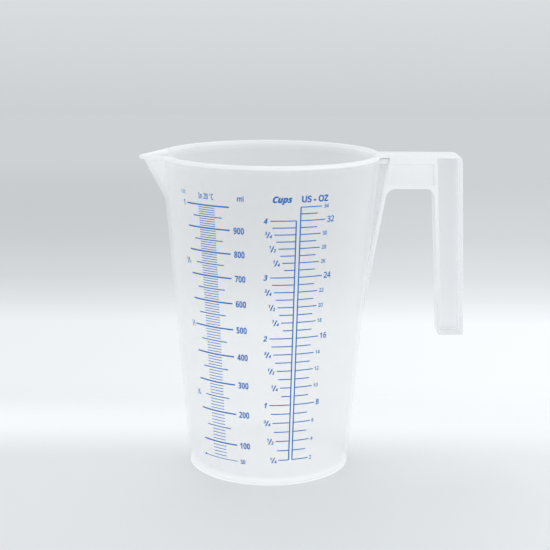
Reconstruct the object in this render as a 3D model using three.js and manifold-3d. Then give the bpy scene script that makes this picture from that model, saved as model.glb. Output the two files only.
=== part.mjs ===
// A one-litre measuring jug in frosted plastic: a tapered vessel with a V-shaped
// pouring spout, an open-ended flanged handle and three printed volume scales.
// Millimetres, +Z up. The vessel's axis is Z and its underside lies on Z = 0.
// The spout points along -X, the handle along +X, and the print faces -Y.

import * as THREE from 'three';
import { ConvexGeometry } from 'three/addons/geometries/ConvexGeometry.js';
import { mergeVertices } from 'three/addons/utils/BufferGeometryUtils.js';
import Module from 'manifold-3d';

// Vessel
const jugHeight = 167;
const rimRadius = 56.7; // outside of the wall at the top
const baseRadius = 42.6; // outside of the wall at the underside
const wallThickness = 1.9;
const floorThickness = 3;
const footChamfer = 1.2;
const rimHeight = 2;
const rimOverhang = 0.4; // how far the rim bead stands out from the wall

// Spout
const spoutReach = 11; // keel's top edge, out from the wall
const spoutDepth = 27.2; // rim down to the foot of the keel
const spoutHalfAngle = 22; // degrees round the rim, to each side
const spoutDroop = 2; // how far the tip lies below the rim
const spoutWall = 1.8;
const spoutLipHeight = 1.9;
const spoutLipOverhang = 1.8;

// Handle: reaches go out from the wall at the rim, and drops go down from the rim
const handleReach = 42.4; // outside of the strap, at the top
const handleDepth = 13; // front to back
const handleDrop = 96; // open lower end
const strapThickness = 2;
const strapFlare = 3.9; // how much farther out the strap is at its lower end
const strapCorner = 4;
const endCorner = 1.3; // corners of the open lower end
const gripWidth = 14.9; // finger side to back, at the arch
const gripTaper = 1.1; // how much narrower the grip is at its lower end
const archDrop = 18; // underside of the arch over the fingers
const archCorner = 4;
const gussetReach = 7.1; // gusset's finger side, at the top
const gussetDrop = 85; // where the gusset's finger side would run into the wall
const gussetTipRise = 8; // how far above that the flange ends
const webThickness = 1.8;
const webTipWidth = 0.8; // gusset web's width at its lower tip
const panelThickness = 11;

// Print: heights follow the vessel's volume, angles are degrees from the front
const inkThickness = 0.2;
const boldLine = 0.75;
const fineLine = 0.45;
const millilitreCentre = -34.5;
const hundredSpan = 27;
const fiftySpan = 18.3;
const millilitreTop = 1000;
const hundredStep = 100;
const fiftyStep = 50;
const cupSpine = 13.75;
const wholeCupSpan = 13.4;
const eighthSpanStep = 1.08; // how much shorter each next eighth's tick is
const cupTop = 4;
const cupBottom = 0.25;
const eighths = 8;
const ounceSpine = 16;
const eightOunceSpan = 13.9;
const evenOunceSpan = 11.5;
const oddOunceSpan = 9.2;
const ounceTop = 34;
const ounceBottom = 2;
const spineWidth = 0.5;

// Fits and facets
const seam = 0.3; // gap between neighbours that meet on a curve or a slope
const overrun = 5; // how far a cutting solid runs past what it cuts
const mergeDistance = 1e-4; // corners closer than this are one
const roundSegments = 96;
const curveSegments = 6;
const arcStep = 3; // degrees between points along a printed line

const cubicMmPerMillilitre = 1000;
const millilitresPerOunce = 29.5735;
const ouncesPerCup = 8;

const frostedPlastic = new THREE.MeshStandardMaterial({ color: 0xe6ebed, roughness: 0.45, metalness: 0 });
const blueInk = new THREE.MeshStandardMaterial({ color: 0x2c5fae, roughness: 0.6, metalness: 0 });

const wasm = await Module();
wasm.setup();

const jug = new THREE.Group();

function addPiece(name, geometry, material) {
  const mesh = new THREE.Mesh(geometry, material);
  mesh.name = name;
  jug.add(mesh);
}

// Solids for cutting and joining

function toSolid(geometry) {
  const bare = geometry.clone();
  bare.deleteAttribute('normal');
  bare.deleteAttribute('uv');
  const merged = mergeVertices(bare, mergeDistance);
  const corners = merged.index.array;
  const triVerts = [];
  for (let i = 0; i < corners.length; i += 3) {
    const [a, b, c] = corners.slice(i, i + 3);
    if (a !== b && b !== c && c !== a) triVerts.push(a, b, c);
  }
  const mesh = new wasm.Mesh({
    numProp: 3,
    vertProperties: merged.attributes.position.array,
    triVerts: new Uint32Array(triVerts),
  });
  return new wasm.Manifold(mesh);
}

function toGeometry(solid) {
  const { vertProperties, triVerts } = solid.getMesh();
  const geometry = new THREE.BufferGeometry();
  geometry.setAttribute('position', new THREE.BufferAttribute(vertProperties, 3));
  geometry.setIndex(new THREE.BufferAttribute(triVerts, 1));
  geometry.computeVertexNormals();
  return geometry;
}

// Vessel shape

const wallSlope = (rimRadius - baseRadius) / jugHeight;
const rimSeat = jugHeight - rimHeight;
const keelFoot = jugHeight - spoutDepth;

function wallRadius(height) {
  return baseRadius + wallSlope * height;
}

function boreRadius(height) {
  return wallRadius(height) - wallThickness;
}

// Height of the liquid's surface when the jug holds this many millilitres
function fillHeight(millilitres) {
  const floorRadius = boreRadius(floorThickness);
  const volume = millilitres * cubicMmPerMillilitre;
  const surfaceRadius = Math.cbrt(floorRadius ** 3 + (3 * wallSlope * volume) / Math.PI);
  return floorThickness + (surfaceRadius - floorRadius) / wallSlope;
}

// A solid turned about the vessel's axis from radius and height pairs, outside first
function turned(profile) {
  const points = profile.map(([radius, height]) => new THREE.Vector2(radius, height));
  return new THREE.LatheGeometry(points, roundSegments).rotateX(Math.PI / 2);
}

function closedRing(profile) {
  return turned([...profile, profile[0]]);
}

function baseGeometry() {
  return turned([
    [0, 0],
    [wallRadius(0) - footChamfer, 0],
    [wallRadius(footChamfer), footChamfer],
    [wallRadius(floorThickness), floorThickness],
    [0, floorThickness],
  ]);
}

function wallGeometry() {
  return closedRing([
    [wallRadius(floorThickness), floorThickness],
    [wallRadius(rimSeat), rimSeat],
    [boreRadius(rimSeat), rimSeat],
    [boreRadius(floorThickness), floorThickness],
  ]);
}

function rimGeometry() {
  const beadRadius = rimRadius + rimOverhang;
  return closedRing([
    [wallRadius(rimSeat), rimSeat],
    [beadRadius, rimSeat + rimOverhang],
    [beadRadius, jugHeight - rimOverhang],
    [rimRadius, jugHeight],
    [boreRadius(jugHeight), jugHeight],
    [boreRadius(rimSeat), rimSeat],
  ]);
}

// Everything inside the vessel's outside face, grown by the seam, for trimming what joins it
function vesselClearance() {
  const beadRadius = rimRadius + rimOverhang + seam;
  return turned([
    [0, -overrun],
    [wallRadius(-overrun) + seam, -overrun],
    [wallRadius(rimSeat - seam) + seam, rimSeat - seam],
    [beadRadius, rimSeat - seam],
    [beadRadius, jugHeight + overrun],
    [0, jugHeight + overrun],
  ]);
}

// Spout shape

// The point at this height on the line from the keel's foot through a point of the top edge
function alongFrom(foot, top, height) {
  return foot.clone().lerp(top, (height - foot.z) / (top.z - foot.z));
}

function rimPoint(radius, degrees, height) {
  const angle = THREE.MathUtils.degToRad(degrees);
  return new THREE.Vector3(-radius * Math.cos(angle), radius * Math.sin(angle), height);
}

// The spout's wedge, inset on every side and carried straight up past the rim by the rise
function spoutWedge(inset, rise) {
  const insetAngle = THREE.MathUtils.radToDeg(inset / rimRadius);
  const halfAngle = spoutHalfAngle - insetAngle;
  const creaseReach = rimRadius * Math.sin(THREE.MathUtils.degToRad(spoutHalfAngle));
  const creaseBack = rimRadius * Math.cos(THREE.MathUtils.degToRad(spoutHalfAngle));
  const vHalfAngle = Math.atan2(creaseReach, rimRadius + spoutReach - creaseBack);
  const keelInset = inset / Math.sin(vHalfAngle);
  const foot = new THREE.Vector3(-(wallRadius(keelFoot) - keelInset), 0, keelFoot);
  const tip = new THREE.Vector3(-(rimRadius + spoutReach - keelInset), 0, jugHeight - spoutDroop);
  const creases = [halfAngle, -halfAngle].map((angle) => rimPoint(rimRadius, angle, jugHeight));
  const tops = [tip, ...creases];
  const raised = tops.map((top) => alongFrom(foot, top, top.z + rise));
  // The wedge narrows to half its width halfway in to the axis, so that it opens into the vessel
  const insideVessel = ({ y, z }) => new THREE.Vector3(-boreRadius(keelFoot) / 2, y / 2, z);
  return new ConvexGeometry([foot, ...raised, ...[foot, ...raised].map(insideVessel)]);
}

// The lip that carries the rim's bead round the top of the spout
function spoutLip() {
  const tipReach = rimRadius + spoutReach + spoutLipOverhang;
  const corners = [
    rimPoint(rimRadius + rimOverhang, spoutHalfAngle, jugHeight),
    rimPoint(rimRadius + rimOverhang, -spoutHalfAngle, jugHeight),
    rimPoint(tipReach, 0, jugHeight - spoutDroop),
    rimPoint(boreRadius(jugHeight) / 2, 0, jugHeight),
  ];
  const lower = corners.map((corner) => corner.clone().setZ(corner.z - spoutLipHeight));
  return new ConvexGeometry([...corners, ...lower]);
}

const spoutChannel = toSolid(spoutWedge(spoutWall, overrun));
const clearance = toSolid(vesselClearance());

function spoutGeometry() {
  const skin = toSolid(spoutWedge(0, 0)).add(toSolid(spoutLip()));
  return toGeometry(skin.subtract(spoutChannel).subtract(clearance));
}

function cutForSpout(geometry) {
  return toGeometry(toSolid(geometry).subtract(spoutChannel));
}

addPiece('base', baseGeometry(), frostedPlastic);
addPiece('wall', cutForSpout(wallGeometry()), frostedPlastic);
addPiece('rim', cutForSpout(rimGeometry()), frostedPlastic);
addPiece('spout', spoutGeometry(), frostedPlastic);

// Handle shape, drawn in the X-Z plane

const strapUnderside = jugHeight - strapThickness;
const archHeight = jugHeight - archDrop;
const gussetFoot = jugHeight - gussetDrop;
const handleBottom = jugHeight - handleDrop;
const endTop = handleBottom + strapThickness;
const strapTop = rimRadius + handleReach;
const strapStart = rimRadius + rimOverhang + seam;

function lineThrough(height1, reach1, height2, reach2) {
  return (height) => reach1 + ((reach2 - reach1) * (height - height1)) / (height2 - height1);
}

const strapSide = lineThrough(jugHeight, strapTop, handleBottom, strapTop + strapFlare);
const fingerTop = strapSide(archHeight) - gripWidth;
const fingerBottom = strapSide(handleBottom) - gripWidth + gripTaper;
const fingerSide = lineThrough(archHeight, fingerTop, handleBottom, fingerBottom);
const gussetSide = lineThrough(jugHeight, rimRadius + gussetReach, gussetFoot, wallRadius(gussetFoot));

function towards(point, [x, z]) {
  return new THREE.Vector2(x, z).sub(point).normalize();
}

// A closed outline whose corners are [x, z] or, where rounded, [x, z, radius]
function roundedOutline(corners) {
  const shape = new THREE.Shape();
  corners.forEach(([x, z, radius = 0], i) => {
    const here = new THREE.Vector2(x, z);
    const toBefore = towards(here, corners.at(i - 1));
    const toAfter = towards(here, corners[(i + 1) % corners.length]);
    const arrive = here.clone().addScaledVector(toBefore, radius);
    const leave = here.clone().addScaledVector(toAfter, radius);
    if (i === 0) shape.moveTo(arrive.x, arrive.y);
    else shape.lineTo(arrive.x, arrive.y);
    if (radius > 0) shape.quadraticCurveTo(x, z, leave.x, leave.y);
  });
  shape.closePath();
  return shape;
}

// A shape in the X-Z plane, thickened equally to the front and the back
function thickened(shape, thickness) {
  const options = { depth: thickness, bevelEnabled: false, curveSegments };
  const geometry = new THREE.ExtrudeGeometry(shape, options);
  return geometry.translate(0, 0, -thickness / 2).rotateX(Math.PI / 2);
}

function plate(corners, thickness) {
  return thickened(roundedOutline(corners), thickness);
}

function cutForVessel(geometry) {
  return toGeometry(toSolid(geometry).subtract(clearance));
}

function strapGeometry() {
  const innerCorner = strapCorner - strapThickness;
  return plate([
    [strapStart, jugHeight],
    [strapStart, strapUnderside],
    [strapSide(strapUnderside) - strapThickness, strapUnderside, innerCorner],
    [strapSide(endTop) - strapThickness, endTop],
    [fingerSide(endTop), endTop],
    [fingerSide(handleBottom), handleBottom, endCorner],
    [strapSide(handleBottom), handleBottom, endCorner],
    [strapSide(jugHeight), jugHeight, strapCorner],
  ], handleDepth);
}

function gripFlangeGeometry() {
  return plate([
    [fingerSide(endTop), endTop],
    [fingerSide(endTop) + strapThickness, endTop],
    [fingerSide(strapUnderside) + strapThickness, strapUnderside],
    [fingerSide(strapUnderside), strapUnderside],
  ], handleDepth);
}

function gussetFlangeGeometry() {
  const flangeTip = gussetFoot + gussetTipRise;
  return cutForVessel(plate([
    [gussetSide(flangeTip), flangeTip],
    [gussetSide(strapUnderside), strapUnderside],
    [gussetSide(strapUnderside) - strapThickness, strapUnderside],
    [gussetSide(flangeTip) - strapThickness, flangeTip],
  ], handleDepth));
}

// The bar over the fingers, with a hollow curve down each flange that it meets
function archGeometry() {
  const archTop = archHeight + strapThickness;
  const archLow = archHeight - archCorner;
  const left = (height) => gussetSide(height) + seam;
  const right = (height) => fingerSide(height) - seam;
  const shape = new THREE.Shape();
  shape.moveTo(left(archTop), archTop);
  shape.lineTo(left(archLow), archLow);
  shape.quadraticCurveTo(left(archHeight), archHeight, left(archHeight) + archCorner, archHeight);
  shape.lineTo(right(archHeight) - archCorner, archHeight);
  shape.quadraticCurveTo(right(archHeight), archHeight, right(archLow), archLow);
  shape.lineTo(right(archTop), archTop);
  shape.closePath();
  return thickened(shape, handleDepth);
}

function thumbPanelGeometry() {
  const panelBottom = archHeight + strapThickness;
  return plate([
    [gussetSide(panelBottom) + seam, panelBottom],
    [fingerSide(panelBottom) - seam, panelBottom],
    [fingerSide(strapUnderside) - seam, strapUnderside],
    [gussetSide(strapUnderside) + seam, strapUnderside],
  ], panelThickness);
}

function gripWebGeometry() {
  const inset = strapThickness + seam;
  return plate([
    [fingerSide(endTop) + inset, endTop],
    [strapSide(endTop) - inset, endTop],
    [strapSide(strapUnderside) - inset, strapUnderside, strapCorner],
    [fingerSide(strapUnderside) + inset, strapUnderside],
  ], webThickness);
}

// The web fills the narrow space behind the gusset's flange, down to a blunt tip
function gussetWebGeometry() {
  const webSide = (height) => gussetSide(height) - strapThickness - seam;
  const webWidth = (height) => webSide(height) - wallRadius(height) - seam;
  const taper = (webWidth(strapUnderside) - webWidth(archHeight)) / (strapUnderside - archHeight);
  const webTip = strapUnderside - (webWidth(strapUnderside) - webTipWidth) / taper;
  return cutForVessel(plate([
    [webSide(webTip), webTip],
    [webSide(strapUnderside), strapUnderside],
    [boreRadius(strapUnderside), strapUnderside],
    [boreRadius(webTip), webTip],
  ], webThickness));
}

addPiece('handle_strap', strapGeometry(), frostedPlastic);
addPiece('grip_flange', gripFlangeGeometry(), frostedPlastic);
addPiece('gusset_flange', gussetFlangeGeometry(), frostedPlastic);
addPiece('arch_flange', archGeometry(), frostedPlastic);
addPiece('thumb_panel', thumbPanelGeometry(), frostedPlastic);
addPiece('grip_web', gripWebGeometry(), frostedPlastic);
addPiece('gusset_web', gussetWebGeometry(), frostedPlastic);

// Print

// Turns an angle from the front, positive towards the handle, into one about +Z from +X
function planAngle(degrees) {
  return THREE.MathUtils.degToRad(degrees - 90);
}

// A level line of ink round the wall between two angles
function inkLine(height, fromDegrees, toDegrees, lineWidth) {
  const inside = wallRadius(height + lineWidth) + seam;
  const from = planAngle(fromDegrees);
  const to = planAngle(toDegrees);
  const segments = Math.ceil((toDegrees - fromDegrees) / arcStep);
  const shape = new THREE.Shape();
  shape.absarc(0, 0, inside + inkThickness, from, to, false);
  shape.absarc(0, 0, inside, to, from, true);
  const options = { depth: lineWidth, bevelEnabled: false, curveSegments: segments };
  return new THREE.ExtrudeGeometry(shape, options).translate(0, 0, height - lineWidth / 2);
}

// A line of ink straight up the wall at one angle
function inkSpine(degrees, lowHeight, highHeight) {
  const shape = new THREE.Shape();
  shape.moveTo(wallRadius(lowHeight) + seam, lowHeight);
  shape.lineTo(wallRadius(lowHeight) + seam + inkThickness, lowHeight);
  shape.lineTo(wallRadius(highHeight) + seam + inkThickness, highHeight);
  shape.lineTo(wallRadius(highHeight) + seam, highHeight);
  shape.closePath();
  const geometry = new THREE.ExtrudeGeometry(shape, { depth: spineWidth, bevelEnabled: false });
  geometry.translate(0, 0, -spineWidth / 2).rotateX(Math.PI / 2);
  return geometry.rotateZ(planAngle(degrees));
}

function joined(geometries) {
  const [first, ...rest] = geometries.map(toSolid);
  return toGeometry(rest.reduce((sum, solid) => sum.add(solid), first));
}

function millilitreMark(millilitres) {
  const isHundred = millilitres % hundredStep === 0;
  const halfSpan = (isHundred ? hundredSpan : fiftySpan) / 2;
  const lineWidth = isHundred ? boldLine : fineLine;
  const height = fillHeight(millilitres);
  return inkLine(height, millilitreCentre - halfSpan, millilitreCentre + halfSpan, lineWidth);
}

function cupScaleGeometry() {
  const cupHeight = (cups) => fillHeight(cups * ouncesPerCup * millilitresPerOunce);
  const parts = [inkSpine(cupSpine, cupHeight(cupBottom), cupHeight(cupTop))];
  for (let eighth = cupBottom * eighths; eighth <= cupTop * eighths; eighth += 1) {
    const belowWhole = (eighths - (eighth % eighths)) % eighths;
    const span = wholeCupSpan - belowWhole * eighthSpanStep;
    parts.push(inkLine(cupHeight(eighth / eighths), cupSpine - span, cupSpine, fineLine));
  }
  return joined(parts);
}

function ounceSpan(ounce) {
  if (ounce % ouncesPerCup === 0) return eightOunceSpan;
  return ounce % 2 === 0 ? evenOunceSpan : oddOunceSpan;
}

function ounceScaleGeometry() {
  const ounceHeight = (ounces) => fillHeight(ounces * millilitresPerOunce);
  const parts = [inkSpine(ounceSpine, ounceHeight(ounceBottom), ounceHeight(ounceTop))];
  for (let ounce = ounceBottom; ounce <= ounceTop; ounce += 1) {
    parts.push(inkLine(ounceHeight(ounce), ounceSpine, ounceSpine + ounceSpan(ounce), fineLine));
  }
  return joined(parts);
}

for (let millilitres = fiftyStep; millilitres <= millilitreTop; millilitres += fiftyStep) {
  addPiece(`millilitre_mark_${millilitres}`, millilitreMark(millilitres), blueInk);
}
addPiece('cup_scale', cupScaleGeometry(), blueInk);
addPiece('ounce_scale', ounceScaleGeometry(), blueInk);

export default jug;
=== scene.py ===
"""Dresses the one-litre measuring jug: a frosted plastic moulding, its blue print and a studio.

Metres, +Z up. The vessel's axis is Z, its underside lies on Z = 0, the spout points along -X,
the handle along +X, and the print faces -Y.
"""

import math

import bmesh
import bpy
from mathutils import Euler, Matrix, Vector


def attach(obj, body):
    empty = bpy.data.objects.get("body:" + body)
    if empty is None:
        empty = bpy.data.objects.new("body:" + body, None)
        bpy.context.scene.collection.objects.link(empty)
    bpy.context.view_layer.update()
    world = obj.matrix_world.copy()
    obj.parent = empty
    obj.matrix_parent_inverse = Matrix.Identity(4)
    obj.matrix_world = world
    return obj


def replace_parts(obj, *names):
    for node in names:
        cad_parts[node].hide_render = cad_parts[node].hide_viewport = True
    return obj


MM = 0.001

# Vessel
JUG_HEIGHT = 167 * MM
RIM_RADIUS = 56.7 * MM
BASE_RADIUS = 42.6 * MM
WALL = 1.9 * MM
FLOOR = 3 * MM
FOOT_CHAMFER = 1.3 * MM
FOOT_ROUND = 0.25 * MM
FLOOR_FILLET = 2.5 * MM
BEAD_HEIGHT = 2 * MM
BEAD_OVERHANG = 0.4 * MM
BEAD_ROUND = 0.85 * MM
BEAD_INNER_ROUND = 0.45 * MM
BEAD_STEP_ROUND = 0.15 * MM

# Spout
SPOUT_REACH = 11 * MM
SPOUT_DEPTH = 27.2 * MM
SPOUT_HALF_ANGLE = math.radians(22)
SPOUT_DROOP = 2 * MM
SPOUT_WALL = 1.8 * MM
LIP_OVERHANG = 1.8 * MM
CREASE_ROUND = 0.5 * MM
TIP_ROUND = math.radians(1.1)

# Handle: reaches go out from the wall at the rim, and drops go down from the rim
HANDLE_REACH = 42.4 * MM
HANDLE_DEPTH = 13 * MM
HANDLE_DROP = 96 * MM
FLANGE = 2 * MM
STRAP_FLARE = 3.9 * MM
STRAP_CORNER = 4 * MM
END_CORNER = 1.3 * MM
GRIP_WIDTH = 14.9 * MM
GRIP_TAPER = 1.1 * MM
ARCH_DROP = 18 * MM
ARCH_CORNER = 4 * MM
GUSSET_REACH = 7.1 * MM
GUSSET_DROP = 85 * MM
WEB = 1.8 * MM
PANEL = 11.6 * MM
BLOCK_DROP = 5.2 * MM
RIB = 10 * MM
RIB_DROP = 2.5 * MM
RIB_TALL = 2.7 * MM
ROOT_DEPTH = 0.4 * MM
EDGE_ROUND = 0.4 * MM
RIB_ROUND = 0.25 * MM

# Meshes: a fold is the angle between two faces at their edge
SPOUT_SECTOR = math.radians(52)
SPOUT_STEPS = 130
BODY_STEPS = 154
SPOUT_RINGS = 70
WALL_RINGS = 16
ROUND_SEGMENTS = 4
EDGE_SEGMENTS = 3
FLAT_FOLD = math.radians(1)
SMOOTH_FOLD = math.radians(32)
ROUNDED_FOLD = math.radians(40)
WELD = 1e-6
MILK = "milk"

# Volumes
ML = 1e-6
ML_PER_OUNCE = 29.5735
OUNCES_PER_CUP = 8

# Print: angles and spans in degrees, from the front and positive towards the handle
INK = 0.05 * MM
INK_LIFT = 0.02 * MM
BOLD_LINE = 0.72 * MM
FINE_LINE = 0.51 * MM
HAIR_LINE = 0.37 * MM
SPINE_LINE = 0.62 * MM
ARC_STEP = 2
ML_CENTRE = -34.5
HUNDRED_SPAN = 27
FIFTY_SPAN = 18.3
TEN_SPAN = 10.2
DOT_SPAN = 1.4
DOT_TALL = 1 * MM
ML_TOP = 1000
ML_BOTTOM = 50
ML_LONG_STEP = 100
ML_HALF_STEP = 50
ML_STEP = 10
ML_FIGURES = -19
LITRE_FIGURES = -50.4
LITRE_FRACTIONS = -48.5
CUP_SPINE = 13.75
WHOLE_CUP_SPAN = 13.4
EIGHTH_STEP = 1.08
CUP_TOP = 4
EIGHTHS = 8
CUP_BOTTOM_EIGHTH = 2
CUP_FIGURE_GAP = 1.3
QUARTERS = {3: "3/4", 2: "1/2", 1: "1/4"}
OUNCE_SPINE = 16
EIGHT_OUNCE_SPAN = 13.9
EVEN_OUNCE_SPAN = 11.5
ODD_OUNCE_SPAN = 9.2
OUNCE_TOP = 34
OUNCE_BOTTOM = 2
OUNCE_FIGURE_GAP = 1.2
HEADING = 150.8 * MM
LITRE_HEADING_RISE = 1 * MM
ML_HEADING_AT = -14.9
CUP_HEADING_AT = 6.5
OUNCE_HEADING_AT = 23.6

# Lettering: where each face's figures and letters start in Unicode, and each label's style
BOLD_FACE = {"0": 0x1D7EC, "A": 0x1D5D4, "a": 0x1D5EE}
PLAIN_FACE = {"0": 0x1D7E2, "A": 0x1D5A0, "a": 0x1D5BA}
LEANING_FACE = {"A": 0x1D63C, "a": 0x1D656}
CAPITAL_SHARE = 0.714
LETTER_STEPS = 3
HAIR_WEIGHT = 0.02 * MM
UPPER_SHIFT = (-2.85 * MM, 0.8 * MM)
SLASH_SHIFT = (-1.71 * MM, 0)
LOWER_SHIFT = (-0.57 * MM, -0.8 * MM)
ML_STYLE = {"face": BOLD_FACE, "tall": 3.2 * MM, "wide": 0.72, "weight": 0.06 * MM}
ML_LOWEST_STYLE = {"face": BOLD_FACE, "tall": 2.4 * MM, "wide": 0.72}
ML_HEADING = {"face": BOLD_FACE, "tall": 2.6 * MM, "wide": 0.8}
WARMTH_HEADING = {"face": BOLD_FACE, "tall": 2.9 * MM, "wide": 0.6}
LITRE_STYLE = {"face": PLAIN_FACE, "tall": 2.9 * MM, "wide": 0.9, "weight": 0.08 * MM}
LITRE_FRACTION = {"face": PLAIN_FACE, "tall": 1.5 * MM}
LITRE_HEADING = {"face": PLAIN_FACE, "tall": 2 * MM, "wide": 0.9}
CUP_STYLE = {"face": BOLD_FACE, "tall": 2.7 * MM, "wide": 0.85, "weight": 0.06 * MM, "slant": 0.25}
CUP_FRACTION = {"face": BOLD_FACE, "tall": 1.6 * MM, "wide": 0.9, "weight": 0.05 * MM, "slant": 0.2}
CUP_HEADING = {"face": LEANING_FACE, "tall": 3 * MM, "weight": 0.15 * MM, "slant": 0.1}
OUNCE_STYLE = {"face": PLAIN_FACE, "tall": 2.9 * MM, "wide": 0.9, "weight": 0.12 * MM}
OUNCE_HEADING = {"face": PLAIN_FACE, "tall": 2.9 * MM, "weight": 0.2 * MM}
SMALL_STYLE = {"face": PLAIN_FACE, "tall": 1.9 * MM, "wide": 0.9, "weight": 0.07 * MM}
SLASH = {"face": {}, "tall": 3 * MM, "wide": 1.6, "weight": 0.06 * MM}

# Plastic's colours and surface: glow is light that comes through and spreads
# The whiter of the first two colours is a painted highlight, laid on the lit places below; the grey
# is the plastic's own colour.
PLASTIC_HIGHLIGHT = (0.955, 0.962, 0.968, 1)
PLASTIC_GREY = (0.895, 0.908, 0.917, 1)
PLASTIC_GLOW = (0.91, 0.923, 0.932, 1)
GLOW_SHARE = 0.45
PLASTIC_IOR = 1.49
PLASTIC_ROUGHNESS = 0.24
GRAIN_SCALE = 2600
GRAIN_DETAIL = 2
GRAIN_STRENGTH = 0.12
GRAIN_HEIGHT = 0.2 * MM
CLOUD_SCALE = 45
CLOUD_DETAIL = 3
CLOUD_ROUGHNESS = 0.12
CLOUD_MILK = 0.04

# Milk: the share of light that a thin wall's face stops, and what it gains where seen edge-on
THIN_MILK = 0.26
EDGE_MILK = 0.3
EDGE_BLEND = 0.3

# Milk of thicker places, from 0 for a thin wall's share to 1 for all of the light
INNER_MILK = 0.125
INNER_TOP_MILK = 0.45
OUTER_TOP_MILK = 0.09
TOP_FADE = (161 * MM, 166 * MM)
BEAD_MILK = 0.85
BEAD_FADE = (-0.5 * MM, 0.2 * MM)
SPOUT_MILK = 0.58
SPOUT_FADE = (0.7, 1)
WEB_MILK = 0.56
GUSSET_MILK = 0.7

# Painted highlights: places whitened where light catches the foot, bead, spout and handle, the
# bands that they fade over, and how white they are
FOOT_BAND = (3.2 * MM, 3.6 * MM)
BEAD_BAND = (164.6 * MM, 165.2 * MM)
BEAD_TOP = (165.9 * MM, 166.7 * MM)
BEAD_SIDE = (56.2 * MM, 56.8 * MM)
BEAD_HIGHLIGHT = 0.8
FACET_BAND = (-1.2 * MM, -0.4 * MM)
FACET_END = (0.2 * MM, 0.7 * MM)
FACET_FROM = (49 * MM, 52 * MM)
ROOT_BAND = (0.6 * MM, 2.4 * MM)
GRIP_BAND = (86 * MM, 90 * MM)
BLOCK_BAND = (154 * MM, 162 * MM)
ARCH_BAND = (150.5 * MM, 152 * MM)
EDGE_BAND = (0.3 * MM, 1.3 * MM)
PANEL_HIGHLIGHT = 0.35
BLOCK_HIGHLIGHT = 0.8
EDGE_HIGHLIGHT = 0.5

# Ink
INK_DARK = (0.001, 0.13, 0.48, 1)
INK_PALE = (0.003, 0.165, 0.56, 1)
INK_SCALE = 900
INK_DETAIL = 2
INK_ROUGHNESS = 0.5

# Studio: tones are shares of white, by the distance behind the jug or the rise above level
COOL_TINT = (0.965, 1, 1.025)
SCREEN_GAMMA = 2.2
GROUND_REACH = 2
GROUND_DROP = 0.1 * MM
# The ground's colour carries painted light: paler to the right and behind the jug than in front.
GROUND_NEAR = (0.767, 0.78, 0.789, 1)
GROUND_LIT_RIGHT = (0.855, 0.868, 0.877, 1)
GROUND_LIT_FAR = (0.955, 0.968, 0.977, 1)
GROUND_FADE = (-0.01, 0.055)
GROUND_TURN = (0.03, 0.2)
GROUND_EDGE = (0.45, 0.9)
GROUND_ROUGHNESS = 0.6
GROUND_GLOSS = 0.2
BACKDROP_FROM = (0.05, 0.11)
# The bright band of tones just behind the jug is a painted pool of light, greying further back.
BACKDROP_TONES = [
    (0, 0.975),
    (0.14, 0.997),
    (0.29, 0.994),
    (0.365, 0.933),
    (0.45, 0.885),
    (0.63, 0.843),
    (1, 0.815),
]
# The backdrop's left side is darkened: painted shade.
LEFT_DIM = (0.9, 0.9, 0.9, 1)
LEFT_TURN = (-0.2, 0.2)
LEFT_START = (0.03, 0.1)
LEFT_FADE = (0.7, 1.3)
WHITE_FROM = (0.25, 0.6)
WHITE_SPREAD = 0.25
SKY_TONES = [(0.9, 0.805), (1, 0.865)]
SKY_TURN = (0.7, 0.9)
SKY_LIGHT = (0.975, 0.99, 1, 1)
SKY_STRENGTH = 0.86
LAMPS = {
    "overhead": {"place": (-0.1, 0.5, 1.1), "aim": (0, 0, 0.1), "size": 0.6, "power": 1.9},
    "left": {"place": (-1.3, -0.9, 0.45), "aim": (0, 0, 0.08), "size": 0.8, "power": 1.8},
    "right": {"place": (1.3, -0.9, 0.45), "aim": (0, 0, 0.08), "size": 0.8, "power": 3.6},
}

# Camera, fitted to the photograph
CAMERA_PLACE = (2.78 * MM, -659.7 * MM, 247.6 * MM)
CAMERA_PITCH = math.radians(12.48)
CAMERA_ROLL = math.radians(0.407)
FOCAL_PIXELS = 1273
FRAME_PIXELS = 550
SENSOR = 36

wall_slope = (RIM_RADIUS - BASE_RADIUS) / JUG_HEIGHT
rim_seat = JUG_HEIGHT - BEAD_HEIGHT
keel_foot = JUG_HEIGHT - SPOUT_DEPTH
strap_underside = JUG_HEIGHT - FLANGE
rib_top = JUG_HEIGHT - RIB_DROP
arch_height = JUG_HEIGHT - ARCH_DROP
handle_bottom = JUG_HEIGHT - HANDLE_DROP
gusset_foot = JUG_HEIGHT - GUSSET_DROP
strap_top = RIM_RADIUS + HANDLE_REACH
strap_slope = -STRAP_FLARE / HANDLE_DROP


def wall_radius(height):
    return BASE_RADIUS + wall_slope * height


def bore_radius(height):
    return wall_radius(height) - WALL


def fill_height(millilitres):
    """Height of the liquid's surface when the jug holds this much."""
    floor_radius = bore_radius(FLOOR)
    surface_radius = (floor_radius**3 + 3 * wall_slope * millilitres * ML / math.pi) ** (1 / 3)
    return FLOOR + (surface_radius - floor_radius) / wall_slope


def ease(value, low, high):
    """0 below low, 1 above high, and smooth between."""
    share = min(1, max(0, (value - low) / (high - low)))
    return share * share * (3 - 2 * share)


# Making meshes


def everything(bm):
    return bm.verts[:] + bm.edges[:] + bm.faces[:]


def flat_outline(bm, corners):
    """A flat face in the X-Z plane from (x, z, rounding) corners."""
    face = bm.faces.new([bm.verts.new((x, 0, z)) for x, z, _ in corners])
    rounded = [(vert, rounding) for vert, (_, _, rounding) in zip(face.verts, corners) if rounding]
    for vert, rounding in rounded:
        bmesh.ops.bevel(
            bm,
            geom=[vert],
            offset=rounding,
            affect="VERTICES",
            segments=ROUND_SEGMENTS,
            profile=0.5,
            material=-1,
        )


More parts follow.
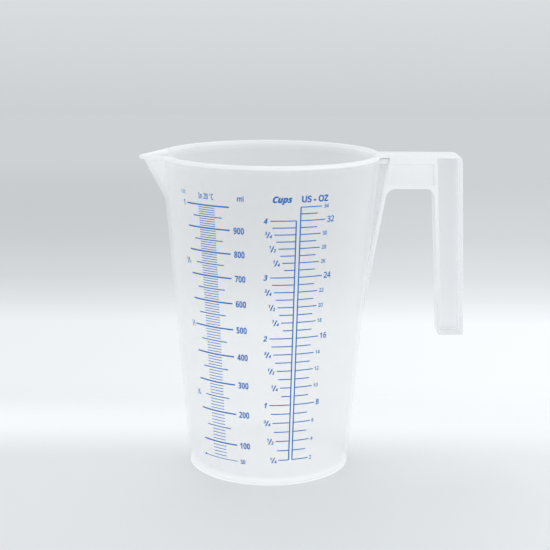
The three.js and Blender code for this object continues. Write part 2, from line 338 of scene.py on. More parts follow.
def mark_milk(bm, milk):
    """Stores how much milkier than a thin wall each point of the plastic is, from 0 to 1."""
    layer = bm.verts.layers.float.new(MILK)
    for vert in bm.verts:
        vert[layer] = milk(vert.co)


def take_mesh(name, bm):
    """Turns a bmesh into a mesh and frees it."""
    mesh = bpy.data.meshes.new(name)
    bm.to_mesh(mesh)
    bm.free()
    return mesh


def link_object(name, data):
    thing = bpy.data.objects.new(name, data)
    bpy.context.scene.collection.objects.link(thing)
    return thing


def finish_piece(name, bm, material):
    """Turns a bmesh into a smooth-shaded piece that rides on the jug's one body."""
    mesh = take_mesh(name, bm)
    mesh.shade_smooth()
    mesh.set_sharp_from_angle(angle=SMOOTH_FOLD)
    mesh.materials.append(material)
    piece = link_object(name, mesh)
    piece.modifiers.new("level_shading", "WEIGHTED_NORMAL").keep_sharp = True
    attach(piece, "root")
    return piece


# Making the vessel


def vessel_section(bm):
    """Edges of half the vessel's cross-section, from the axis round to the axis."""
    bead_radius = RIM_RADIUS + BEAD_OVERHANG
    flat_outline(
        bm,
        [
            (0, 0, 0),
            (wall_radius(0) - FOOT_CHAMFER, 0, FOOT_ROUND),
            (wall_radius(FOOT_CHAMFER), FOOT_CHAMFER, FOOT_ROUND),
            (wall_radius(keel_foot), keel_foot, 0),
            (wall_radius(rim_seat), rim_seat, BEAD_STEP_ROUND),
            (bead_radius, rim_seat, BEAD_ROUND),
            (bead_radius, JUG_HEIGHT, BEAD_ROUND),
            (bore_radius(JUG_HEIGHT), JUG_HEIGHT, BEAD_INNER_ROUND),
            (bore_radius(keel_foot), keel_foot, 0),
            (bore_radius(FLOOR), FLOOR, FLOOR_FILLET),
            (0, FLOOR, 0),
        ],
    )
    bmesh.ops.delete(bm, geom=bm.faces[:], context="FACES_ONLY")
    on_axis = [edge for edge in bm.edges if all(vert.co.x < WELD for vert in edge.verts)]
    bmesh.ops.delete(bm, geom=on_axis, context="EDGES")
    for low, high, rings in ((0, keel_foot, WALL_RINGS), (keel_foot, JUG_HEIGHT, SPOUT_RINGS)):
        rising = [edge for edge in bm.edges if is_wall_edge(edge, low, high)]
        bmesh.ops.subdivide_edges(bm, edges=rising, cuts=rings - 1)


def is_wall_edge(edge, low, high):
    heights = sorted(vert.co.z for vert in edge.verts)
    within = heights[0] > low - WELD and heights[1] < high + WELD
    return within and heights[1] - heights[0] > BEAD_HEIGHT


def turned_vessel():
    """The vessel before its spout is drawn out, with its finest facets where the spout will be."""
    bm = bmesh.new()
    vessel_section(bm)
    start = Matrix.Rotation(math.pi - SPOUT_SECTOR / 2, 4, "Z")
    bmesh.ops.transform(bm, matrix=start, verts=bm.verts)
    geometry = bm.verts[:] + bm.edges[:]
    for angle, steps in ((SPOUT_SECTOR, SPOUT_STEPS), (math.tau - SPOUT_SECTOR, BODY_STEPS)):
        turn = bmesh.ops.spin(
            bm, geom=geometry, cent=(0, 0, 0), axis=(0, 0, 1), angle=angle, steps=steps
        )
        geometry = turn["geom_last"]
    bmesh.ops.remove_doubles(bm, verts=bm.verts, dist=WELD)
    bmesh.ops.recalc_face_normals(bm, faces=bm.faces)
    return bm


def spout_facet():
    """Unit normal and offset of the spout's facet on the +Y side."""
    foot = Vector((-wall_radius(keel_foot), 0, keel_foot))
    tip = Vector((-(RIM_RADIUS + SPOUT_REACH), 0, JUG_HEIGHT - SPOUT_DROOP))
    crease = Vector(
        (
            -RIM_RADIUS * math.cos(SPOUT_HALF_ANGLE),
            RIM_RADIUS * math.sin(SPOUT_HALF_ANGLE),
            JUG_HEIGHT,
        )
    )
    normal = (crease - foot).cross(tip - foot).normalized()
    if normal.x > 0:
        normal.negate()
    return normal, normal.dot(tip)


def soft_max(a, b):
    """The larger of two radii, rounded where they meet."""
    return (a + b + math.hypot(a - b, CREASE_ROUND)) / 2


def draw_out_spout(bm):
    """Pushes the wall out to the spout's two facets and droops its lip."""
    normal, offset = spout_facet()
    for vert in bm.verts:
        angle = math.hypot(math.atan2(vert.co.y, -vert.co.x), TIP_ROUND)
        if angle > SPOUT_SECTOR / 2 or vert.co.z < keel_foot - BEAD_HEIGHT:
            continue
        radius = vert.co.xy.length
        outside = radius > wall_radius(vert.co.z) - WALL / 2
        nearness = max(0, 1 - angle / SPOUT_HALF_ANGLE)
        rise = max(0, (vert.co.z - keel_foot) / SPOUT_DEPTH)
        height = vert.co.z - SPOUT_DROOP * nearness * rise
        plain = wall_radius(height) if outside else bore_radius(height)
        inset = 0 if outside else SPOUT_WALL
        across = normal.y * math.sin(angle) - normal.x * math.cos(angle)
        facet = (offset - inset - normal.z * height) / across
        push = soft_max(plain, facet) - plain
        if vert.co.z > rim_seat and outside:
            push += (LIP_OVERHANG - BEAD_OVERHANG) * nearness
        vert.co.xy *= (radius + push) / radius
        vert.co.z = height


def vessel_milk(point):
    """Most on the bead's outer edge and the floor, then the spout, and least on the wall."""
    radius = point.xy.length
    on_bead = ease(point.z - rim_seat, *BEAD_FADE)
    outer = ease(radius, RIM_RADIUS - WALL, RIM_RADIUS)
    bead = on_bead * (BEAD_MILK + (1 - BEAD_MILK) * outer)
    inner_floor = 1 - ease(radius, bore_radius(FLOOR) - FLOOR_FILLET, bore_radius(FLOOR))
    floor = inner_floor * (1 - ease(point.z, FLOOR, 2 * FLOOR))
    beside = abs(math.atan2(point.y, -point.x)) / SPOUT_HALF_ANGLE
    spout = SPOUT_MILK * (1 - ease(beside, *SPOUT_FADE)) * ease(point.z, keel_foot, JUG_HEIGHT)
    near_top = ease(point.z, *TOP_FADE)
    inside = radius < wall_radius(point.z) - WALL / 2
    wall = INNER_MILK + INNER_TOP_MILK * near_top if inside else OUTER_TOP_MILK * near_top
    return max(bead, floor, spout, wall)


def vessel_mesh():
    """The vessel as one solid, marked before its points are moved for the spout."""
    bm = turned_vessel()
    mark_milk(bm, vessel_milk)
    draw_out_spout(bm)
    return bm


# Making the handle


def line_through(height1, reach1, height2, reach2):
    return lambda height: reach1 + (reach2 - reach1) * (height - height1) / (height2 - height1)


strap_side = line_through(JUG_HEIGHT, strap_top, handle_bottom, strap_top + STRAP_FLARE)
finger_side = line_through(
    arch_height,
    strap_side(arch_height) - GRIP_WIDTH,
    handle_bottom,
    strap_side(handle_bottom) - GRIP_WIDTH + GRIP_TAPER,
)
gusset_side = line_through(
    JUG_HEIGHT, RIM_RADIUS + GUSSET_REACH, gusset_foot, wall_radius(gusset_foot)
)


def root_reach(height):
    """The handle's root, a little inside the wall's outer face."""
    return wall_radius(height) - ROOT_DEPTH


def half_depth(x, z):
    """Half the handle's thickness at a point of its side view."""
    past_gusset = x - gusset_side(z)
    past_finger = x - finger_side(z)
    on_gusset = -FLANGE < past_gusset < 0
    on_finger = 0 < past_finger < FLANGE
    on_strap = z > strap_underside or x > strap_side(z) - FLANGE or z < handle_bottom + FLANGE
    between = past_gusset > 0 > past_finger
    on_arch = between and z < arch_height + FLANGE
    in_block = between and z > JUG_HEIGHT - BLOCK_DROP
    if on_gusset or on_finger or on_strap or on_arch or in_block:
        return HANDLE_DEPTH / 2
    if between:
        return PANEL / 2
    if past_gusset < 0 and rib_top - RIB_TALL < z < rib_top:
        return RIB / 2
    return WEB / 2


def cut(bm, point, normal):
    bmesh.ops.bisect_plane(bm, geom=everything(bm), dist=WELD, plane_co=point, plane_no=normal)


def cut_along(bm, reach):
    """Splits the flat side view along a line of the handle."""
    low = Vector((reach(handle_bottom), 0, handle_bottom))
    high = Vector((reach(JUG_HEIGHT), 0, JUG_HEIGHT))
    cut(bm, low, (high - low).cross(Vector((0, 1, 0))))


def handle_side_view(bm):
    """The handle's flat outline, split wherever its depth changes."""
    flat_outline(
        bm,
        [
            (root_reach(JUG_HEIGHT), JUG_HEIGHT, 0),
            (strap_side(JUG_HEIGHT), JUG_HEIGHT, STRAP_CORNER),
            (strap_side(handle_bottom), handle_bottom, END_CORNER),
            (finger_side(handle_bottom), handle_bottom, END_CORNER),
            (finger_side(arch_height), arch_height, ARCH_CORNER),
            (gusset_side(arch_height), arch_height, ARCH_CORNER),
            (root_reach(gusset_foot), gusset_foot, 0),
        ],
    )
    cut_along(bm, lambda z: strap_side(z) - FLANGE)
    cut_along(bm, lambda z: finger_side(z) + FLANGE)
    cut_along(bm, finger_side)
    cut_along(bm, gusset_side)
    cut_along(bm, lambda z: gusset_side(z) - FLANGE)
    levels = (
        strap_underside,
        JUG_HEIGHT - BLOCK_DROP,
        rib_top,
        rib_top - RIB_TALL,
        arch_height + FLANGE,
        handle_bottom + FLANGE,
    )
    for height in levels:
        cut(bm, (0, 0, height), (0, 0, 1))


def raise_faces(bm, faces, distance):
    """Pulls faces out to the front and returns the new front faces."""
    pulled = bmesh.ops.extrude_face_region(bm, geom=faces)
    verts = [item for item in pulled["geom"] if isinstance(item, bmesh.types.BMVert)]
    bmesh.ops.translate(bm, verts=verts, vec=(0, -distance, 0))
    bmesh.ops.delete(bm, geom=faces, context="FACES")
    return [item for item in pulled["geom"] if isinstance(item, bmesh.types.BMFace)]


def depth_of(face):
    centre = face.calc_center_median()
    return half_depth(centre.x, centre.z)


def on_flange_cut(vert):
    """Whether a point is on the front or back of the flanges, level with the top of the arch."""
    on_flange = abs(abs(vert.co.y) - HANDLE_DEPTH / 2) < WELD
    return on_flange and abs(vert.co.z - arch_height - FLANGE) < WELD


def join_flat_faces(bm):
    """Joins the flat faces that the cuts left side by side, but keeps one cut across the flanges.

    The flanges ring two cells, and a face can't have holes. Without a fixed cut Blender would
    keep other edges in each run.
    """
    edges = [edge for edge in bm.edges if not all(on_flange_cut(vert) for vert in edge.verts)]
    bmesh.ops.dissolve_limit(bm, angle_limit=FLAT_FOLD, verts=bm.verts, edges=edges)


def round_edges(bm, depth, rounding):
    """Rounds the edges of the handle's front and back faces at one depth."""
    outer = [
        edge
        for edge in bm.edges
        if all(abs(abs(vert.co.y) - depth) < WELD for vert in edge.verts)
    ]
    sharp = [edge for edge in outer if edge.is_manifold and edge.calc_face_angle() > ROUNDED_FOLD]
    bmesh.ops.bevel(
        bm,
        geom=sharp,
        offset=rounding,
        affect="EDGES",
        segments=EDGE_SEGMENTS,
        profile=0.5,
        material=-1,
    )


def handle_milk(point):
    """Least on the thin webs, and most on the front and back of the deeper parts."""
    web = GUSSET_MILK if point.x < gusset_side(point.z) else WEB_MILK
    return web + (1 - web) * ease(abs(point.y), WEB, PANEL / 2)


def handle_mesh():
    """The handle as one solid: webs, a thumb panel and a rib between deeper flanges."""
    bm = bmesh.new()
    handle_side_view(bm)
    front = bm.faces[:]
    reached = 0
    for depth in sorted({depth_of(face) for face in front}):
        rising = [face for face in front if depth_of(face) >= depth]
        front = raise_faces(bm, rising, depth - reached)
        reached = depth
    bmesh.ops.mirror(bm, geom=everything(bm), axis="Y", merge_dist=WELD)
    bmesh.ops.remove_doubles(bm, verts=bm.verts, dist=WELD)
    bmesh.ops.recalc_face_normals(bm, faces=bm.faces)
    join_flat_faces(bm)
    round_edges(bm, HANDLE_DEPTH / 2, EDGE_ROUND)
    round_edges(bm, RIB / 2, RIB_ROUND)
    mark_milk(bm, handle_milk)
    return bm


# Making the print


def wrap_on_wall(bm, degrees, height):
    """Lays flat print, drawn in X-Z with its back on Y = 0, on the wall at an angle and height."""
    for vert in bm.verts:
        z = height + vert.co.z
        radius = wall_radius(z)
        angle = math.radians(degrees - 90) + vert.co.x / radius
        reach = radius + INK_LIFT - vert.co.y
        vert.co = (reach * math.cos(angle), reach * math.sin(angle), z)


def merge_into(target, bm):
    mesh = take_mesh("ink", bm)
    target.from_mesh(mesh)
    bpy.data.meshes.remove(mesh)


def ink_block(length, tall):
    bm = bmesh.new()
    bmesh.ops.create_cube(bm, size=1, matrix=Matrix.Diagonal((length, INK, tall, 1)))
    bmesh.ops.translate(bm, verts=bm.verts, vec=(0, -INK / 2, 0))
    return bm


def add_tick(target, degrees, height, span, line):
    """A level line of ink, centred on an angle, over a span of degrees."""
    length = math.radians(span) * wall_radius(height)
    bm = ink_block(length, line)
    along = [edge for edge in bm.edges if edge.calc_length() > length - WELD]
    bmesh.ops.subdivide_edges(bm, edges=along, cuts=max(1, int(span / ARC_STEP)))
    wrap_on_wall(bm, degrees, height)
    merge_into(target, bm)


def add_spine(target, degrees, low, high):
    bm = ink_block(SPINE_LINE, high - low)
    wrap_on_wall(bm, degrees, (low + high) / 2)
    merge_into(target, bm)


letters = bpy.data.curves.new("letters", "FONT")
letters.bevel_resolution = 0
letters.resolution_u = LETTER_STEPS


def in_face(text, face):
    """The same words in the bold, plain or leaning face of Unicode's mathematical letters."""
    shifted = ""
    for letter in text:
        kind = "0" if letter.isdigit() else "A" if letter.isupper() else "a"
        known = letter.isalnum() and kind in face
        shifted += chr(face[kind] + ord(letter) - ord(kind)) if known else letter
    return shifted


def lettering(text, face, tall, wide=1.0, weight=HAIR_WEIGHT, slant=0.0):
    """Flat letters in X-Z, with their capitals centred on Z = 0.

    They are written a metre tall and then shrunk, because Blender fills smaller letters badly.
    """
    size = tall / CAPITAL_SHARE
    letters.body = in_face(text, face)
    letters.extrude = weight / size
    letters.bevel_depth = weight / size
    letters.shear = slant
    writer = link_object("letters", letters)
    bpy.context.view_layer.update()
    shown = writer.evaluated_get(bpy.context.evaluated_depsgraph_get())
    mesh = bpy.data.meshes.new_from_object(shown)
    bm = bmesh.new()
    bm.from_mesh(mesh)
    bpy.data.objects.remove(writer)
    bpy.data.meshes.remove(mesh)
    depth = 2 * (letters.extrude + letters.bevel_depth)
    upright = Matrix(
        (
            (size * wide, 0, 0, 0),
            (0, 0, -INK / depth, -INK / 2),
            (0, size, 0, -tall / 2),
            (0, 0, 0, 1),
        )
    )
    bmesh.ops.transform(bm, matrix=upright, verts=bm.verts)
    bmesh.ops.remove_doubles(bm, verts=bm.verts, dist=WELD)
    return bm


def add_letters(target, text, degrees, height, style, align="CENTRE", shift=(0, 0)):
    """Prints words whose left end, middle or right end is at an angle of the wall."""
    bm = lettering(text, **style)
    low = min(vert.co.x for vert in bm.verts)
    high = max(vert.co.x for vert in bm.verts)
    start = {"LEFT": low, "CENTRE": (low + high) / 2, "RIGHT": high}[align]
    bmesh.ops.translate(bm, verts=bm.verts, vec=(shift[0] - start, 0, shift[1]))
    wrap_on_wall(bm, degrees, height)
    merge_into(target, bm)


def add_fraction(target, text, degrees, height, style):
    """A small upper figure, a slash and a small lower figure, ending at an angle of the wall."""
    upper, lower = text.split("/")
    add_letters(target, upper, degrees, height, style, shift=UPPER_SHIFT)
    add_letters(target, "/", degrees, height, SLASH, shift=SLASH_SHIFT)
    add_letters(target, lower, degrees, height, style, shift=LOWER_SHIFT)


def add_millilitre_ticks(bm):
    for millilitres in range(ML_BOTTOM + ML_STEP, ML_TOP + 1, ML_STEP):
        height = fill_height(millilitres)
        if millilitres % ML_LONG_STEP == 0:
            add_tick(bm, ML_CENTRE, height, HUNDRED_SPAN, BOLD_LINE)
        elif millilitres % ML_HALF_STEP == 0:
            add_tick(bm, ML_CENTRE, height, FIFTY_SPAN, FINE_LINE)
        else:
            add_tick(bm, ML_CENTRE, height, TEN_SPAN, HAIR_LINE)
    lowest = fill_height(ML_BOTTOM)
    add_tick(bm, ML_CENTRE, lowest, HUNDRED_SPAN, HAIR_LINE)
    add_tick(bm, ML_CENTRE - HUNDRED_SPAN / 2, lowest, DOT_SPAN, DOT_TALL)


def millilitre_print():
    bm = bmesh.new()
    add_millilitre_ticks(bm)
    for millilitres in range(ML_LONG_STEP, ML_TOP, ML_LONG_STEP):
        add_letters(bm, str(millilitres), ML_FIGURES, fill_height(millilitres), ML_STYLE, "LEFT")
    add_letters(bm, str(ML_BOTTOM), ML_FIGURES, fill_height(ML_BOTTOM), ML_LOWEST_STYLE, "LEFT")
    add_letters(bm, "1", LITRE_FIGURES, fill_height(ML_TOP), LITRE_STYLE)
    for quarter, text in QUARTERS.items():
        add_fraction(bm, text, LITRE_FRACTIONS, fill_height(quarter * ML_TOP / 4), LITRE_FRACTION)
    add_letters(bm, "Ltr.", LITRE_FIGURES, HEADING + LITRE_HEADING_RISE, LITRE_HEADING)
    add_letters(bm, "In 20 °C", ML_CENTRE, HEADING, WARMTH_HEADING)
    add_letters(bm, "ml", ML_HEADING_AT, HEADING, ML_HEADING)
    return bm


def cup_height(eighth):
    return fill_height(eighth / EIGHTHS * OUNCES_PER_CUP * ML_PER_OUNCE)


def cup_print():
    bm = bmesh.new()
    add_spine(bm, CUP_SPINE, cup_height(CUP_BOTTOM_EIGHTH), cup_height(CUP_TOP * EIGHTHS))
    for eighth in range(CUP_BOTTOM_EIGHTH, CUP_TOP * EIGHTHS + 1):
        height = cup_height(eighth)
        span = WHOLE_CUP_SPAN - (-eighth % EIGHTHS) * EIGHTH_STEP
        add_tick(bm, CUP_SPINE - span / 2, height, span, FINE_LINE)
        beside = CUP_SPINE - span - CUP_FIGURE_GAP
        whole, part = divmod(eighth, EIGHTHS)
        quarter, odd = divmod(part, 2)
        if part == 0:
            add_letters(bm, str(whole), beside, height, CUP_STYLE, "RIGHT")
        elif not odd:
            add_fraction(bm, QUARTERS[quarter], beside, height, CUP_FRACTION)
    add_letters(bm, "Cups", CUP_HEADING_AT, HEADING, CUP_HEADING)
    return bm


def ounce_height(ounces):
    return fill_height(ounces * ML_PER_OUNCE)


def ounce_print():
    bm = bmesh.new()
    add_spine(bm, OUNCE_SPINE, ounce_height(OUNCE_BOTTOM), ounce_height(OUNCE_TOP))
    for ounces in range(OUNCE_BOTTOM, OUNCE_TOP + 1):
        height = ounce_height(ounces)
        span, style = ODD_OUNCE_SPAN, None
        if ounces % 2 == 0:
            span, style = EVEN_OUNCE_SPAN, SMALL_STYLE
        if ounces % OUNCES_PER_CUP == 0:
            span, style = EIGHT_OUNCE_SPAN, OUNCE_STYLE
        add_tick(bm, OUNCE_SPINE + span / 2, height, span, FINE_LINE)
        beside = OUNCE_SPINE + span + OUNCE_FIGURE_GAP
        if style:
            add_letters(bm, str(ounces), beside, height, style, "LEFT")
    add_letters(bm, "US - OZ", OUNCE_HEADING_AT, HEADING, OUNCE_HEADING)
    return bm


# Making the materials


class Value:
    """A number that varies over a surface, and grows Math nodes from Python's operators."""

    def __init__(self, paint, socket):
        self.paint = paint
        self.socket = socket

    def math(self, operation, a, b):
        node = self.paint.node("ShaderNodeMath", {"operation": operation}, {0: a, 1: b})
        return Value(self.paint, node.outputs[0])

    def at_most(self, limit):
        return self.math("MINIMUM", self, limit)

    def at_least(self, limit):
        return self.math("MAXIMUM", self, limit)

    def below(self, limit):
        """1 where the number is below the limit, else 0."""
        return self.math("LESS_THAN", self, limit)

    def __abs__(self):
        return self.math("ABSOLUTE", self, 0.0)

    def __neg__(self):
        return self.math("SUBTRACT", 0.0, self)

    def __add__(self, other):
        return self.math("ADD", self, other)

    def __radd__(self, other):
        return self.math("ADD", other, self)

    def __sub__(self, other):
        return self.math("SUBTRACT", self, other)

    def __rsub__(self, other):
        return self.math("SUBTRACT", other, self)

    def __mul__(self, other):
        return self.math("MULTIPLY", self, other)

    def __rmul__(self, other):
        return self.math("MULTIPLY", other, self)


class Paint:
    """The node tree of a material or of the world."""

    def __init__(self, owner):
        owner.use_nodes = True
        self.tree = owner.node_tree
        self.tree.nodes.clear()

    def node(self, kind, settings=None, inputs=None):
        node = self.tree.nodes.new(kind)
        for name, value in (settings or {}).items():
            if name == "stops":
                set_stops(node.color_ramp.elements, value)
            else:
                setattr(node, name, value)
        for key, value in (inputs or {}).items():
            socket = node.inputs[key]
            if isinstance(value, Value):
                value = value.socket
            if isinstance(value, bpy.types.NodeSocket):
                self.tree.links.new(value, socket)
            else:
                socket.default_value = value
        return node

    def value(self, node, output=0):
        return Value(self, node.outputs[output])

    def axes(self, place):
        """The three coordinates of a place or direction."""
        node = self.node("ShaderNodeSeparateXYZ", None, {0: place})
        return [self.value(node, axis) for axis in range(3)]

    def ease(self, value, low, high):
        """0 below low, 1 above high, and smooth between."""
        step = {"interpolation_type": "SMOOTHSTEP"}
        inputs = {0: value, 1: low, 2: high, 3: 0.0, 4: 1.0}
        return self.value(self.node("ShaderNodeMapRange", step, inputs))

    def mix(self, share, a, b, blend="MIX"):
        """A colour between two colours, or between one and its product with the other."""
        settings = {"data_type": "RGBA", "blend_type": blend}
        node = self.node("ShaderNodeMix", settings, {0: share, 6: a, 7: b})
        return node.outputs[2]

    def layer(self, share, a, b):
        """A shader between two shaders."""
        inputs = {0: share, 1: a.outputs[0], 2: b.outputs[0]}
        return self.node("ShaderNodeMixShader", None, inputs)

    def noise(self, place, scale, detail):
        inputs = {"Vector": place, "Scale": scale, "Detail": detail}
        return self.value(self.node("ShaderNodeTexNoise", None, inputs))

    def show(self, shader, output="ShaderNodeOutputMaterial"):
        self.node(output, None, {"Surface": shader.outputs[0]})


def set_stops(elements, stops):
    while len(elements) < len(stops):
        elements.new(1.0)
    for element, (position, colour) in zip(elements, stops):
        element.position = position
        element.color = colour


def squares(band):
    return [value**2 for value in band]


def bright_bead(paint, across, deep, height):
    """A painted highlight on the bead's outer side, and a little less on its crown."""
    side = paint.ease(across * across + deep * deep, *squares(BEAD_SIDE))
    crown = paint.ease(height, *BEAD_TOP)
    outer = side * paint.ease(height, *BEAD_BAND) * (1 - crown)
    return outer.at_least(crown * BEAD_HIGHLIGHT)


def bright_spout(paint, across, deep, height):
    """A painted highlight on the outer skin of the spout's two facets."""
    normal, offset = spout_facet()
    beyond = across * normal.x + abs(deep) * normal.y + height * normal.z - offset
    on_facet = paint.ease(beyond, *FACET_BAND) * (1 - paint.ease(beyond, *FACET_END))
    return on_facet * paint.ease(-across, *FACET_FROM)


def bright_handle(paint, across, height, past_wall):
    """Painted highlights on the strap, the thumb panel with its block and arch, and the outer edge
    of the grip.
    """
    lit = paint.ease(height, *BLOCK_BAND) + 1 - paint.ease(height, *ARCH_BAND)
    panel = PANEL_HIGHLIGHT + lit * (BLOCK_HIGHLIGHT - PANEL_HIGHLIGHT)
    beside_grip = past_wall * (1 - paint.ease(across, *GRIP_BAND)) * panel
    strap = past_wall * paint.ease(height, *BEAD_BAND) * BLOCK_HIGHLIGHT
    short_of_edge = strap_side(0) + height * strap_slope - across
    edge = (1 - paint.ease(short_of_edge, *EDGE_BAND)) * EDGE_HIGHLIGHT
    return beside_grip.at_least(strap).at_least(edge)


def bright_places(paint, place):
    """Painted highlights, up to 1: how much whiter the moulding is made on its foot, bead, spout
    and parts of the handle.
    """
    across, deep, height = paint.axes(place)
    past_wall = paint.ease(across - height * wall_slope - BASE_RADIUS, *ROOT_BAND)
    foot = 1 - paint.ease(height, *FOOT_BAND)
    bead = bright_bead(paint, across, deep, height) * (1 - past_wall)
    spout = bright_spout(paint, across, deep, height)
    handle = bright_handle(paint, across, height, past_wall)
    return (foot + bead + spout + handle).at_most(1)


def stopped_light(paint, cloud):
    """The share of light that a face stops. The plastic's inner side stops none."""
    thick = paint.value(paint.node("ShaderNodeAttribute", {"attribute_name": MILK}), "Fac")
    edge = paint.value(paint.node("ShaderNodeLayerWeight", None, {"Blend": EDGE_BLEND}), "Facing")
    inside = paint.value(paint.node("ShaderNodeNewGeometry"), "Backfacing")
    milk = THIN_MILK + thick * (1 - THIN_MILK) + edge * EDGE_MILK + cloud * CLOUD_MILK
    return milk.at_most(1) * (1 - inside)


def fine_grain(paint, place):
    """The normal of the frosted surface."""
    grain = paint.noise(place, GRAIN_SCALE, GRAIN_DETAIL)
    inputs = {"Strength": GRAIN_STRENGTH, "Distance": GRAIN_HEIGHT, "Height": grain}
    return paint.node("ShaderNodeBump", None, inputs).outputs[0]


def frosted_plastic():
    """Translucent plastic: each face stops some light, and more where the plastic is thick. Its
    colour turns white in painted highlights.
    """
    material = bpy.data.materials.new("frosted_plastic")
    paint = Paint(material)
    place = paint.node("ShaderNodeTexCoord").outputs["Object"]
    cloud = paint.noise(place, CLOUD_SCALE, CLOUD_DETAIL)
    painted_highlight = bright_places(paint, place)
    # Base colour: the plastic's grey, turning white in the painted highlights, where the glow is
    # thinner too.
    face = paint.node(
        "ShaderNodeBsdfPrincipled",
        None,
        {
            "Base Color": paint.mix(painted_highlight, PLASTIC_GREY, PLASTIC_HIGHLIGHT),
            "Roughness": PLASTIC_ROUGHNESS + cloud * CLOUD_ROUGHNESS,
            "IOR": PLASTIC_IOR,
            "Normal": fine_grain(paint, place),
        },
    )
    glow = paint.node("ShaderNodeBsdfTranslucent", None, {"Color": PLASTIC_GLOW})
    clear = paint.node("ShaderNodeBsdfTransparent")
    milky = paint.layer(GLOW_SHARE * (1 - painted_highlight), face, glow)
    paint.show(paint.layer(stopped_light(paint, cloud), clear, milky))
    return material


def blue_ink():
    material = bpy.data.materials.new("blue_ink")
    paint = Paint(material)
    place = paint.node("ShaderNodeTexCoord").outputs["Object"]
    tone = paint.mix(paint.noise(place, INK_SCALE, INK_DETAIL), INK_DARK, INK_PALE)
    inputs = {"Base Color": tone, "Roughness": INK_ROUGHNESS}
    paint.show(paint.node("ShaderNodeBsdfPrincipled", None, inputs))
    return material


# Setting up the studio


def cool_grey(level):
    """The slightly blue grey that shows as this share of white on screen."""
    linear = level**SCREEN_GAMMA
    return (*(linear * tint for tint in COOL_TINT), 1)


def grey_stops(tones):
    return [(position, cool_grey(level)) for position, level in tones]


def seen_directly(paint):
    """1 for rays that show the background, to the camera or in gloss and clear plastic."""
    path = paint.node("ShaderNodeLightPath")
    camera, gloss, clear = (
        paint.value(path, name)
        for name in ("Is Camera Ray", "Is Glossy Ray", "Is Transmission Ray")
    )
    return (camera + gloss + clear).at_most(1)


def backdrop_colour(paint, side, back):
    """Greys by the distance behind the jug, with a painted pool of light just behind it and painted
    shade on the left, and white far to both sides.
    """
    stops = grey_stops(BACKDROP_TONES)
    tone = paint.node("ShaderNodeValToRGB", {"stops": stops}, {0: back}).outputs[0]
    dimmed = paint.ease(back, *LEFT_START) * (1 - paint.ease(back, *LEFT_FADE))
    left = (1 - paint.ease(side, *LEFT_TURN)) * dimmed
    beside = paint.ease(abs(side) - back * WHITE_SPREAD, *WHITE_FROM)
    return paint.mix(beside, paint.mix(left, tone, LEFT_DIM, "MULTIPLY"), cool_grey(1))


def pale_floor():
    """A floor that takes shadows round the jug, whose colour carries painted light, and shows a
    backdrop further off.
    """
    material = bpy.data.materials.new("pale_floor")
    paint = Paint(material)
    side, back, _ = paint.axes(paint.node("ShaderNodeTexCoord").outputs["Object"])
    # Painted light: the ground's colour grows paler to the right and behind the jug.
    near = paint.mix(paint.ease(side, *GROUND_TURN), GROUND_NEAR, GROUND_LIT_RIGHT)
    ground = paint.node(
        "ShaderNodeBsdfPrincipled",
        None,
        {
            "Base Color": paint.mix(paint.ease(back, *GROUND_FADE), near, GROUND_LIT_FAR),
            "Roughness": GROUND_ROUGHNESS,
            "Specular IOR Level": GROUND_GLOSS,
        },
    )
    glow = paint.node("ShaderNodeEmission", None, {"Color": backdrop_colour(paint, side, back)})
    distance = side * side + back * back
    # Under the base the floor shows the bright backdrop instead of its own shade: painted light
    # standing for light through the base.
    lit_under_base = distance.below(BASE_RADIUS**2)
    far = paint.ease(distance, *squares(GROUND_EDGE))
    backdrop = (paint.ease(back, *BACKDROP_FROM) + lit_under_base + far).at_most(1)
    paint.show(paint.layer(seen_directly(paint) * backdrop, ground, glow))
    return material


def studio_floor():
    bm = bmesh.new()
    bmesh.ops.create_grid(bm, x_segments=1, y_segments=1, size=GROUND_REACH)
    bmesh.ops.translate(bm, verts=bm.verts, vec=(0, 0, -GROUND_DROP))
    floor = link_object("floor", take_mesh("floor", bm))
    floor.data.materials.append(pale_floor())


def studio_world():
    """Even light from all round, shown as a grey backdrop behind the jug and white elsewhere."""
    world = bpy.data.worlds.new("studio")
    bpy.context.scene.world = world
    paint = Paint(world)
    _, back, rise = paint.axes(paint.node("ShaderNodeTexCoord").outputs["Generated"])
    stops = grey_stops(SKY_TONES)
    tone = paint.node("ShaderNodeValToRGB", {"stops": stops}, {0: rise + 1}).outputs[0]
    colour = paint.mix(paint.ease(back, *SKY_TURN), cool_grey(1), tone)
    shown = paint.node("ShaderNodeBackground", None, {"Color": colour})
    inputs = {"Color": SKY_LIGHT, "Strength": SKY_STRENGTH}
    light = paint.node("ShaderNodeBackground", None, inputs)
    paint.show(paint.layer(seen_directly(paint), light, shown), "ShaderNodeOutputWorld")


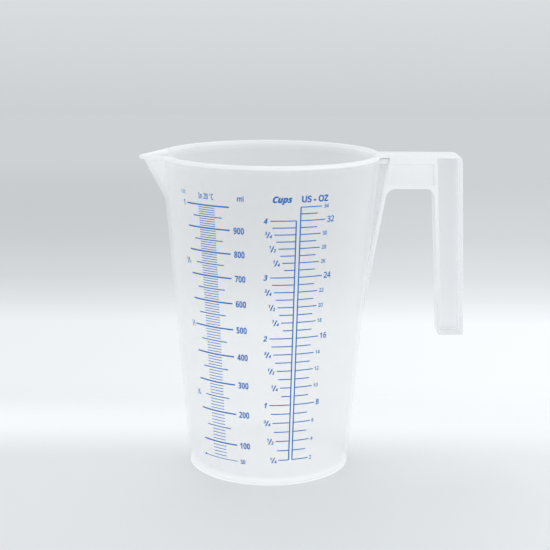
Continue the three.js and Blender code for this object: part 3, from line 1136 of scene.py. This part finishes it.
def area_lamp(name, place, aim, size, power):
    """A square lamp that the camera doesn't see."""
    lamp = bpy.data.lights.new(name, "AREA")
    lamp.size = size
    lamp.energy = power
    holder = link_object(name, lamp)
    holder.location = place
    holder.rotation_euler = (Vector(aim) - Vector(place)).to_track_quat("-Z", "Y").to_euler()
    holder.visible_camera = False


def studio_camera():
    lens = bpy.data.cameras.new("camera")
    lens.sensor_width = SENSOR
    lens.lens = FOCAL_PIXELS * SENSOR / FRAME_PIXELS
    camera = link_object("camera", lens)
    camera.location = CAMERA_PLACE
    tilt = Euler((math.pi / 2 - CAMERA_PITCH, 0, 0)).to_matrix()
    roll = Matrix.Rotation(CAMERA_ROLL, 3, "Z")
    camera.rotation_euler = (tilt @ roll).to_euler()
    bpy.context.scene.camera = camera


def build_jug(frame):
    plastic = frosted_plastic()
    ink = blue_ink()
    vessel_piece = finish_piece("vessel", vessel_mesh(), plastic)
    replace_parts(vessel_piece, "base", "wall", "rim", "spout")
    handle_piece = finish_piece("handle", handle_mesh(), plastic)
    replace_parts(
        handle_piece,
        "handle_strap",
        "grip_flange",
        "gusset_flange",
        "arch_flange",
        "thumb_panel",
        "grip_web",
        "gusset_web",
    )
    millilitres = finish_piece("millilitre_print", millilitre_print(), ink)
    marks = [name for name in frame["nodes"] if name.startswith("millilitre_mark")]
    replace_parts(millilitres, *marks)
    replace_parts(finish_piece("cup_print", cup_print(), ink), "cup_scale")
    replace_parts(finish_piece("ounce_print", ounce_print(), ink), "ounce_scale")


bpy.context.scene.view_settings.view_transform = "Standard"
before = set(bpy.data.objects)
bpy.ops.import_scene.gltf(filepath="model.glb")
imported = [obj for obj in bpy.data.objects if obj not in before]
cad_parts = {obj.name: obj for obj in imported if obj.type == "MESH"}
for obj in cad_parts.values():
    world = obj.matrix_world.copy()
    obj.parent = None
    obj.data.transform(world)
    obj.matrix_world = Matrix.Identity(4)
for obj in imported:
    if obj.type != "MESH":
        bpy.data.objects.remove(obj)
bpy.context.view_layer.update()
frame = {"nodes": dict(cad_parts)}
studio_camera()
studio_floor()
studio_world()
for lamp_name, lamp_values in LAMPS.items():
    area_lamp(lamp_name, **lamp_values)
build_jug(frame)
